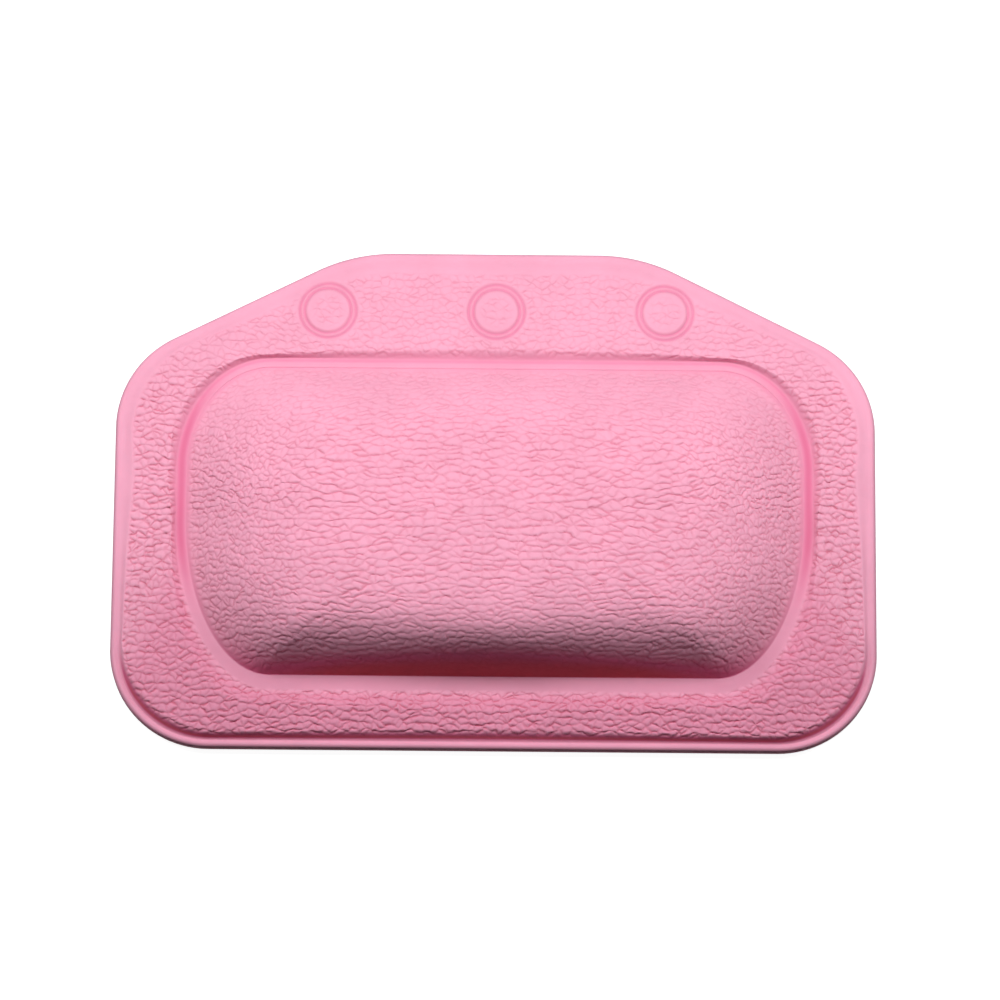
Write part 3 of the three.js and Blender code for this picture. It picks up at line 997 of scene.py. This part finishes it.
def add_relief(piece, grain):
    """Raises the cells of the grain on the front sheet's own surface."""
    board, given, made = new_group(
        "Embossed Relief", "GeometryNodeTree",
        [("Sheet", "NodeSocketGeometry", None)], [("Sheet", "NodeSocketGeometry")],
    )
    place = board.node("GeometryNodeInputNamedAttribute", {"Name": SHEET_PLACE}, data_type="FLOAT_VECTOR")
    strength = board.node("GeometryNodeInputNamedAttribute", {"Name": GRAIN}, data_type="FLOAT")
    cells = board.node(
        "GeometryNodeGroup",
        {"Place": place.outputs[0], "Cell Width": grain.cell_width, "Cell Height": grain.cell_height},
        node_tree=shared_group("Crazed Grain Relief", lambda: crazed_grain("GeometryNodeTree")),
    )
    tilt = board.math("MULTIPLY", cells.outputs["Tone"], 0.3)
    level = board.math("SUBTRACT", board.math("ADD", cells.outputs["Cells"], tilt), 1.0)
    height = board.math("MULTIPLY", board.math("MULTIPLY", level, strength.outputs[0]), grain.relief)
    offset = board.node("ShaderNodeVectorMath", operation="SCALE")
    board.wire(offset.inputs[0], board.node("GeometryNodeInputNormal").outputs[0])
    board.wire(offset.inputs["Scale"], height)
    raised = {"Geometry": given.outputs[0], "Offset": offset.outputs[0]}
    moved = board.node("GeometryNodeSetPosition", raised)
    board.wire(made.inputs[0], moved.outputs[0])

    only(piece)
    modifier = piece.modifiers.new("Embossed Relief", "NODES")
    modifier.node_group = board.tree
    bpy.ops.object.modifier_apply(modifier=modifier.name)


def foam_sheet_finish(name, base, pore_size, roughness):
    """Plain foam with pores, for the backing sheet and the filling."""
    material, board, shader = new_material(name, {"Roughness": roughness})
    pores = board.node(
        "ShaderNodeGroup",
        {"Place": board.node("ShaderNodeTexCoord").outputs["Object"], "Pore Size": pore_size},
        node_tree=shared_group("Foam Pores", foam_pores),
    )
    tone = board.mix(pores.outputs["Mottling"], faded(base, 0.88), faded(base, 1.06))
    # Painted shade in the pores: darker where the pore bump is low.
    pore_shade = board.mix(board.ease(pores.outputs["Pores"], 0.3, 0.5, 0.35, 0.0), tone, faded(base, 0.6))
    board.wire(shader.inputs["Base Color"], pore_shade)
    depth = board.math("MULTIPLY", pores.outputs["Pores"], pore_size * 0.5)
    bump = board.node("ShaderNodeBump", {"Height": depth, "Distance": 1.0, "Strength": 0.8})
    board.wire(shader.inputs["Normal"], bump.outputs[0])
    return material


def clear_vinyl(settings):
    """Soft clear vinyl with faint moulding haze."""
    material, board, shader = new_material("clear_vinyl", {"IOR": 1.53, "Transmission Weight": 0.92})
    place = board.node("ShaderNodeTexCoord").outputs["Object"]
    haze = board.node("ShaderNodeTexNoise", {"Vector": place, "Scale": 140.0, "Detail": 3.0}).outputs[0]
    base = settings.colours.vinyl
    board.wire(shader.inputs["Base Color"], board.mix(haze, faded(base, 1), faded(base, 0.93)))
    board.wire(shader.inputs["Roughness"], board.ease(haze, 0.3, 0.7, 0.08, 0.2))
    return material


# Pieces


class PILLOW_OT_front_sheet(bpy.types.Operator):
    """Models the embossed front sheet with its rim, border, channel, dome and buttons"""

    bl_idname = "bath_pillow.front_sheet"
    bl_label = "Front Sheet"

    def execute(self, context):
        settings = context.scene.bath_pillow
        plate = Plate()
        mesh = front_sheet_mesh(plate, settings)
        mesh.transform(plate.matrix())
        piece = new_piece("embossed_front_sheet", mesh)
        add_relief(piece, settings.grain)
        shade_smooth(piece, 55)
        dress(piece, "pillow", foam_skin(settings), "cover_foam", "front_cover")
        return {"FINISHED"}


class PILLOW_OT_backing_sheet(bpy.types.Operator):
    """Models the flat backing sheet with the marks of the welds and a hole for each cup's neck"""

    bl_idname = "bath_pillow.backing_sheet"
    bl_label = "Backing Sheet"

    def execute(self, context):
        settings = context.scene.bath_pillow
        sizes = settings.plate
        plate = Plate()
        right, top = plate.width / 2, plate.height / 2
        slope = shoulder_slope(plate, sizes)
        corners = [
            ((right, -top), sizes.bottom_corner, QUARTER),
            ((right, top - sizes.shoulder_drop), sizes.side_corner, slope),
            ((sizes.top_edge / 2, top), sizes.top_corner, QUARTER - slope),
        ]
        bpy.ops.object.select_all(action="DESELECT")
        bpy.ops.mesh.primitive_circle_add(vertices=2 * len(corners), radius=right, fill_type="NGON")
        piece = context.object
        piece.name = piece.data.name = "flat_backing_sheet"
        shape_outline(piece, corners)
        thicken_sheet(piece, plate.back_thickness)
        press_channel(piece, plate, settings)
        for x, y, _ in plate.cups.values():
            drill(piece, (x, y), settings.cups.neck + settings.cups.neck_play, plate.back_thickness)
        piece.data.transform(plate.matrix())
        shade_smooth(piece, 40)
        finish = foam_sheet_finish("backing_foam", settings.colours.backing, 0.5 * MM, 0.6)
        dress(piece, "pillow", finish, "backing_foam", "back_cover")
        return {"FINISHED"}


def shape_outline(piece, corners):
    """Moves a six-sided face's corners to the plate's, and rounds each pair with its own radius."""
    places = [place for place, _, _ in corners]
    places += [(-x, y) for x, y in reversed(places)]
    ordered = sorted(piece.data.vertices, key=lambda v: math.atan2(v.co.y, v.co.x) % (2 * math.pi))
    targets = sorted(places, key=lambda p: math.atan2(p[1], p[0]) % (2 * math.pi))
    for vertex, (x, y) in zip(ordered, targets):
        vertex.co = (x, y, 0)
    only(piece)
    for (x, y), radius, turn in corners:
        bpy.ops.object.mode_set(mode="EDIT")
        bpy.ops.mesh.select_all(action="DESELECT")
        bpy.ops.object.mode_set(mode="OBJECT")
        for vertex in piece.data.vertices:
            vertex.select = bool(abs(abs(vertex.co.x) - x) < 1e-6 and abs(vertex.co.y - y) < 1e-6)
        bpy.ops.object.mode_set(mode="EDIT")
        bpy.ops.mesh.bevel(offset=radius * math.tan(turn / 2), segments=24, affect="VERTICES")
        bpy.ops.object.mode_set(mode="OBJECT")


def thicken_sheet(piece, thickness):
    """Gives the flat face its thickness and rounds both of its edges a little."""
    only(piece)
    bpy.ops.object.mode_set(mode="EDIT")
    bpy.ops.mesh.select_all(action="SELECT")
    bpy.ops.mesh.extrude_region_move(TRANSFORM_OT_translate={"value": (0, 0, thickness)})
    bpy.ops.mesh.select_all(action="SELECT")
    bpy.ops.mesh.normals_make_consistent(inside=False)
    bpy.ops.object.mode_set(mode="OBJECT")
    edging = piece.modifiers.new("Edging", "BEVEL")
    edging.width = thickness * 0.22
    edging.segments = 3
    edging.limit_method = "ANGLE"
    edging.angle_limit = math.radians(60)
    bpy.ops.object.modifier_apply(modifier=edging.name)


def cut(piece, tool):
    """Cuts a tool out of a piece and removes the tool."""
    only(piece)
    modifier = piece.modifiers.new("Cut", "BOOLEAN")
    modifier.operation = "DIFFERENCE"
    modifier.solver = "EXACT"
    modifier.object = tool
    bpy.ops.object.modifier_apply(modifier=modifier.name)
    bpy.data.objects.remove(tool)


def press_channel(piece, plate, settings):
    """Presses the line of the channel's weld into the underside."""
    welds = settings.welds
    box = channel_box(plate, welds)
    outer, inner = (
        box.shrunk(welds.channel * step, welds.lower_channel * step).ring()[::PLAIN_STRIDE]
        for step in (0.2, 0.8)
    )
    depth = plate.back_thickness * 0.25
    levels = [(outer, -depth), (inner, -depth), (inner, depth), (outer, depth)]
    points = [(x, y, z) for ring, z in levels for x, y in ring]
    faces = (ring_faces(len(levels) + 1, len(outer)) % len(points)).tolist()
    mesh = bpy.data.meshes.new("channel_press")
    mesh.from_pydata(points, [], faces)
    tool = new_piece("channel_press", mesh)
    only(tool)
    bpy.ops.object.mode_set(mode="EDIT")
    bpy.ops.mesh.select_all(action="SELECT")
    bpy.ops.mesh.normals_make_consistent(inside=False)
    bpy.ops.object.mode_set(mode="OBJECT")
    cut(piece, tool)


def drill(piece, centre, radius, thickness):
    """Cuts a round hole through a flat sheet."""
    bpy.ops.object.select_all(action="DESELECT")
    place = (*centre, thickness / 2)
    bpy.ops.mesh.primitive_cylinder_add(vertices=40, radius=radius, depth=4 * thickness, location=place)
    cut(piece, bpy.context.object)


class PILLOW_OT_filling(bpy.types.Operator):
    """Models the soft foam block that fills the dome"""

    bl_idname = "bath_pillow.filling"
    bl_label = "Filling"

    def execute(self, context):
        settings = context.scene.bath_pillow
        sizes, welds, dome = settings.plate, settings.welds, settings.dome
        plate = Plate()
        foot = channel_box(plate, welds).shrunk(welds.channel, welds.lower_channel)
        rings = Rings()
        add_dome(rings, foot, dome, 0, sizes.dome_wall + sizes.fit_gap, HOLLOW_RINGS)
        outlines = np.array(rings.outlines)[:, ::PLAIN_STRIDE]
        heights = np.array(rings.heights)[:, ::PLAIN_STRIDE]
        count = outlines.shape[1]
        seam = plate.back_thickness + sizes.fit_gap
        points = np.dstack((outlines, heights + seam)).reshape(-1, 3)
        faces = ring_faces(len(outlines), count).tolist()
        faces += spine_faces((len(outlines) - 1) * count, count)
        faces.append(list(range(count))[::-1])
        mesh = bpy.data.meshes.new("filling_block")
        mesh.from_pydata(points, [], faces)
        mesh.transform(plate.matrix())
        piece = new_piece("filling_block", mesh)
        shade_smooth(piece, 50)
        finish = foam_sheet_finish("filling_foam", settings.colours.filling, 1.1 * MM, 0.9)
        dress(piece, "pillow", finish, "filling_foam", "foam_core")
        return {"FINISHED"}


class PILLOW_OT_suction_cups(bpy.types.Operator):
    """Models the three clear suction cups"""

    bl_idname = "bath_pillow.suction_cups"
    bl_label = "Suction Cups"

    def execute(self, context):
        settings = context.scene.bath_pillow
        vinyl = clear_vinyl(settings)
        middles = {side: cup_middle(f"suction_cup_{side}") for side in CUP_SIDES}
        first = cup_piece(settings.cups, *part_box(f"suction_cup_{CUP_SIDES[0]}"))
        cups = [first] + [new_piece("vinyl_cup", first.data.copy()) for _ in CUP_SIDES[1:]]
        for side, piece in zip(CUP_SIDES, cups):
            piece.name = piece.data.name = f"{side}_vinyl_cup"
            piece.data.transform(Matrix.Translation(middles[side] - middles[CUP_SIDES[0]]))
            dress(piece, f"{side}_cup", vinyl, "clear_vinyl", f"suction_cup_{side}")
        return {"FINISHED"}


def cup_middle(node):
    """Where a packed cup's axis meets the floor."""
    low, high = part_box(node)
    return Vector(((low.x + high.x) / 2, (low.y + high.y) / 2, 0))


def cup_profile(sizes, high):
    """Radius and height of each turn of a cup, from the pole of its hollow out, round and up to its
    head. Heights stand above the surface that the cup holds to."""
    rounding, edge, stem_length = 0.3 * MM, 0.7 * MM, 3.5 * MM
    head_base = high - sizes.head_thickness
    shoulder_top = head_base - stem_length
    rim = sizes.radius
    hollow = [(rim * step, sizes.hollow * (1 - step**2.2)) for step in (0.15, 0.35, 0.55, 0.75, 0.9)]
    lip = [
        (rim - 0.9 * MM, 0),
        (rim - 0.2 * MM, 0),
        (rim, 0.15 * MM),
        (rim, 0.45 * MM),
        (rim - 0.25 * MM, edge),
    ]
    flare = []
    for step in np.linspace(0.12, 1, 9):
        radius = sizes.shoulder + (rim - sizes.shoulder) * (1 - step) ** 2
        flare.append((radius, edge + (sizes.hollow + 2.2 * MM) * step**1.25))
    stem = [
        (sizes.shoulder, shoulder_top - 0.4 * MM),
        (sizes.shoulder - 0.4 * MM, shoulder_top),
        (sizes.neck + rounding, shoulder_top),
        (sizes.neck, shoulder_top + rounding),
        (sizes.neck, head_base - rounding),
        (sizes.neck + rounding, head_base),
    ]
    head = [(sizes.head - rounding, head_base), (sizes.head, head_base + rounding)]
    crown_base = 1 * MM
    for angle in np.linspace(0.15, 0.95, 6) * QUARTER:
        height = head_base + crown_base + (sizes.head_thickness - crown_base) * math.sin(angle)
        head.append((sizes.head * math.cos(angle), height))
    return hollow + lip + flare + stem + head


def cup_piece(sizes, low, high):
    """The cup in a packed cup's box, extruded ring by ring from its hollow to its head."""
    centre = (low + high) / 2
    profile = cup_profile(sizes, high.z)
    bpy.ops.object.select_all(action="DESELECT")
    start, base = profile[0]
    place = (centre.x, centre.y, base)
    bpy.ops.mesh.primitive_circle_add(vertices=72, radius=start, location=place, fill_type="TRIFAN")
    piece = bpy.context.object
    bpy.ops.object.transform_apply(location=True, rotation=True, scale=True)
    bpy.ops.object.mode_set(mode="EDIT")
    bpy.ops.mesh.select_mode(type="EDGE")
    bpy.ops.mesh.select_all(action="SELECT")
    bpy.ops.mesh.region_to_loop()
    pivot = Vector((centre.x, centre.y, 0))
    for (radius, height), (next_radius, next_height) in zip(profile, profile[1:]):
        bpy.ops.mesh.extrude_edges_move(TRANSFORM_OT_translate={"value": (0, 0, next_height - height)})
        grow = next_radius / radius
        bpy.ops.transform.resize(value=(grow, grow, 1), center_override=pivot)
    bpy.ops.mesh.edge_face_add()
    bpy.ops.mesh.poke()
    bpy.ops.mesh.select_all(action="SELECT")
    bpy.ops.mesh.normals_make_consistent(inside=False)
    bpy.ops.object.mode_set(mode="OBJECT")
    shade_smooth(piece, 45)
    return piece


class PILLOW_OT_stage(bpy.types.Operator):
    """Sets the floor, the lamps, the white background and the camera"""

    bl_idname = "bath_pillow.stage"
    bl_label = "Stage"

    def execute(self, context):
        stage = context.scene.bath_pillow.stage
        context.scene.view_settings.view_transform = "Standard"
        add_floor()
        add_world(stage)
        plate = Plate()
        above_flap = plate.place((0, 0.11, 0.32))
        upper_dome = plate.place((0, 0.05, 0))
        add_lamp("strip_lamp", above_flap, upper_dome, (1.2, 0.16), 170, stage.strip)
        add_camera(stage, plate.place((0, 0, 5 * MM)))
        return {"FINISHED"}


def shown_rays(board):
    """1 for the rays that show the background: to the camera, by reflection or through clear vinyl."""
    rays = board.node("ShaderNodeLightPath").outputs
    seen = board.math("MAXIMUM", rays["Is Camera Ray"], rays["Is Glossy Ray"])
    return board.math("MAXIMUM", seen, rays["Is Transmission Ray"])


def add_floor():
    """A white floor that keeps the object's shadow."""
    bpy.ops.object.select_all(action="DESELECT")
    bpy.ops.mesh.primitive_plane_add(size=8, location=(0, 0, 0))
    floor = bpy.context.object
    floor.name = "studio_floor"
    material = bpy.data.materials.new("white_floor")
    material.use_nodes = True
    material.node_tree.nodes.clear()
    board = Board(material.node_tree)
    white = board.node("ShaderNodeBsdfDiffuse", {"Color": (0.4, 0.4, 0.4, 1.0)})
    glow = board.node("ShaderNodeEmission", {"Color": (1.0, 1.0, 1.0, 1.0), "Strength": 0.94})
    both = board.node("ShaderNodeAddShader")
    board.wire(both.inputs[0], white.outputs[0])
    board.wire(both.inputs[1], glow.outputs[0])
    shown = board.node("ShaderNodeMixShader", {0: shown_rays(board)})
    dim = board.node("ShaderNodeBsdfDiffuse", {"Color": (0.05, 0.05, 0.05, 1.0)})
    board.wire(shown.inputs[1], dim.outputs[0])
    board.wire(shown.inputs[2], both.outputs[0])
    board.node("ShaderNodeOutputMaterial", {"Surface": shown.outputs[0]})
    floor.data.materials.append(material)


def add_world(stage):
    """White where it is seen, and a low even light on the object."""
    world = bpy.data.worlds.new("studio_world")
    bpy.context.scene.world = world
    world.use_nodes = True
    world.node_tree.nodes.clear()
    board = Board(world.node_tree)
    strength = board.ease(shown_rays(board), 0.0, 1.0, stage.ambient, 1.0)
    light = board.node("ShaderNodeBackground", {"Color": (1.0, 1.0, 1.0, 1.0), "Strength": strength})
    board.node("ShaderNodeOutputWorld", {"Surface": light.outputs[0]})


def add_lamp(name, place, target, size, spread, watts):
    """A soft rectangular lamp that faces the target and fades to the sides of its spread in degrees."""
    lamp = bpy.data.lights.new(name, "AREA")
    lamp.shape = "RECTANGLE"
    lamp.size, lamp.size_y = size
    lamp.spread = math.radians(spread)
    lamp.energy = watts
    holder = bpy.data.objects.new(name, lamp)
    bpy.context.scene.collection.objects.link(holder)
    holder.visible_camera = False
    holder.location = place
    holder.rotation_euler = (Vector(target) - Vector(place)).to_track_quat("-Z", "Y").to_euler()


def add_camera(stage, middle):
    """The photograph's camera: straight in front and high above, with a long lens."""
    camera = bpy.data.cameras.new("camera")
    holder = bpy.data.objects.new("camera", camera)
    bpy.context.scene.collection.objects.link(holder)
    back = Vector((0, -math.cos(stage.elevation), math.sin(stage.elevation)))
    facing = (-back).to_track_quat("-Z", "Y").to_matrix()
    facing = facing @ Matrix.Rotation(stage.roll, 3, "Z")
    right = (PICTURE / 2 - stage.centre[0]) / stage.scale
    up = (stage.centre[1] - PICTURE / 2) / stage.scale
    holder.location = Vector(middle) + facing @ Vector((right, up, 0)) + back * stage.distance
    holder.rotation_euler = facing.to_euler()
    camera.lens = camera.sensor_width * stage.distance * stage.scale / PICTURE
    camera.clip_end = 20
    bpy.context.scene.camera = holder


class PILLOW_PT_pieces(bpy.types.Panel):
    """Lists the pieces of the bath pillow and its stage"""

    bl_idname = "PILLOW_PT_pieces"
    bl_label = "Bath Pillow"
    bl_space_type = "VIEW_3D"
    bl_region_type = "UI"
    bl_category = "Bath Pillow"

    def draw(self, context):
        """One button for each operator."""
        for piece in OPERATORS:
            self.layout.operator(piece.bl_idname)


GROUPS = (
    PlateSizes,
    WeldSizes,
    DomeSizes,
    ButtonSizes,
    GrainSizes,
    CupSizes,
    PillowColours,
    StageSettings,
    BathPillowSettings,
)
OPERATORS = (
    PILLOW_OT_stage,
    PILLOW_OT_front_sheet,
    PILLOW_OT_backing_sheet,
    PILLOW_OT_filling,
    PILLOW_OT_suction_cups,
)
CLASSES = (*GROUPS, *OPERATORS, PILLOW_PT_pieces)


def register():
    """Adds the settings, the operators and the panel."""
    for made in CLASSES:
        bpy.utils.register_class(made)
    bpy.types.Scene.bath_pillow = PointerProperty(type=BathPillowSettings)


def unregister():
    """Takes them away again."""
    del bpy.types.Scene.bath_pillow
    for made in reversed(CLASSES):
        bpy.utils.unregister_class(made)


def main():
    """Models every piece on its stage."""
    register()
    bpy.ops.bath_pillow.stage()
    bpy.ops.bath_pillow.front_sheet()
    bpy.ops.bath_pillow.backing_sheet()
    bpy.ops.bath_pillow.filling()
    bpy.ops.bath_pillow.suction_cups()


if __name__ == "__main__":
    main()
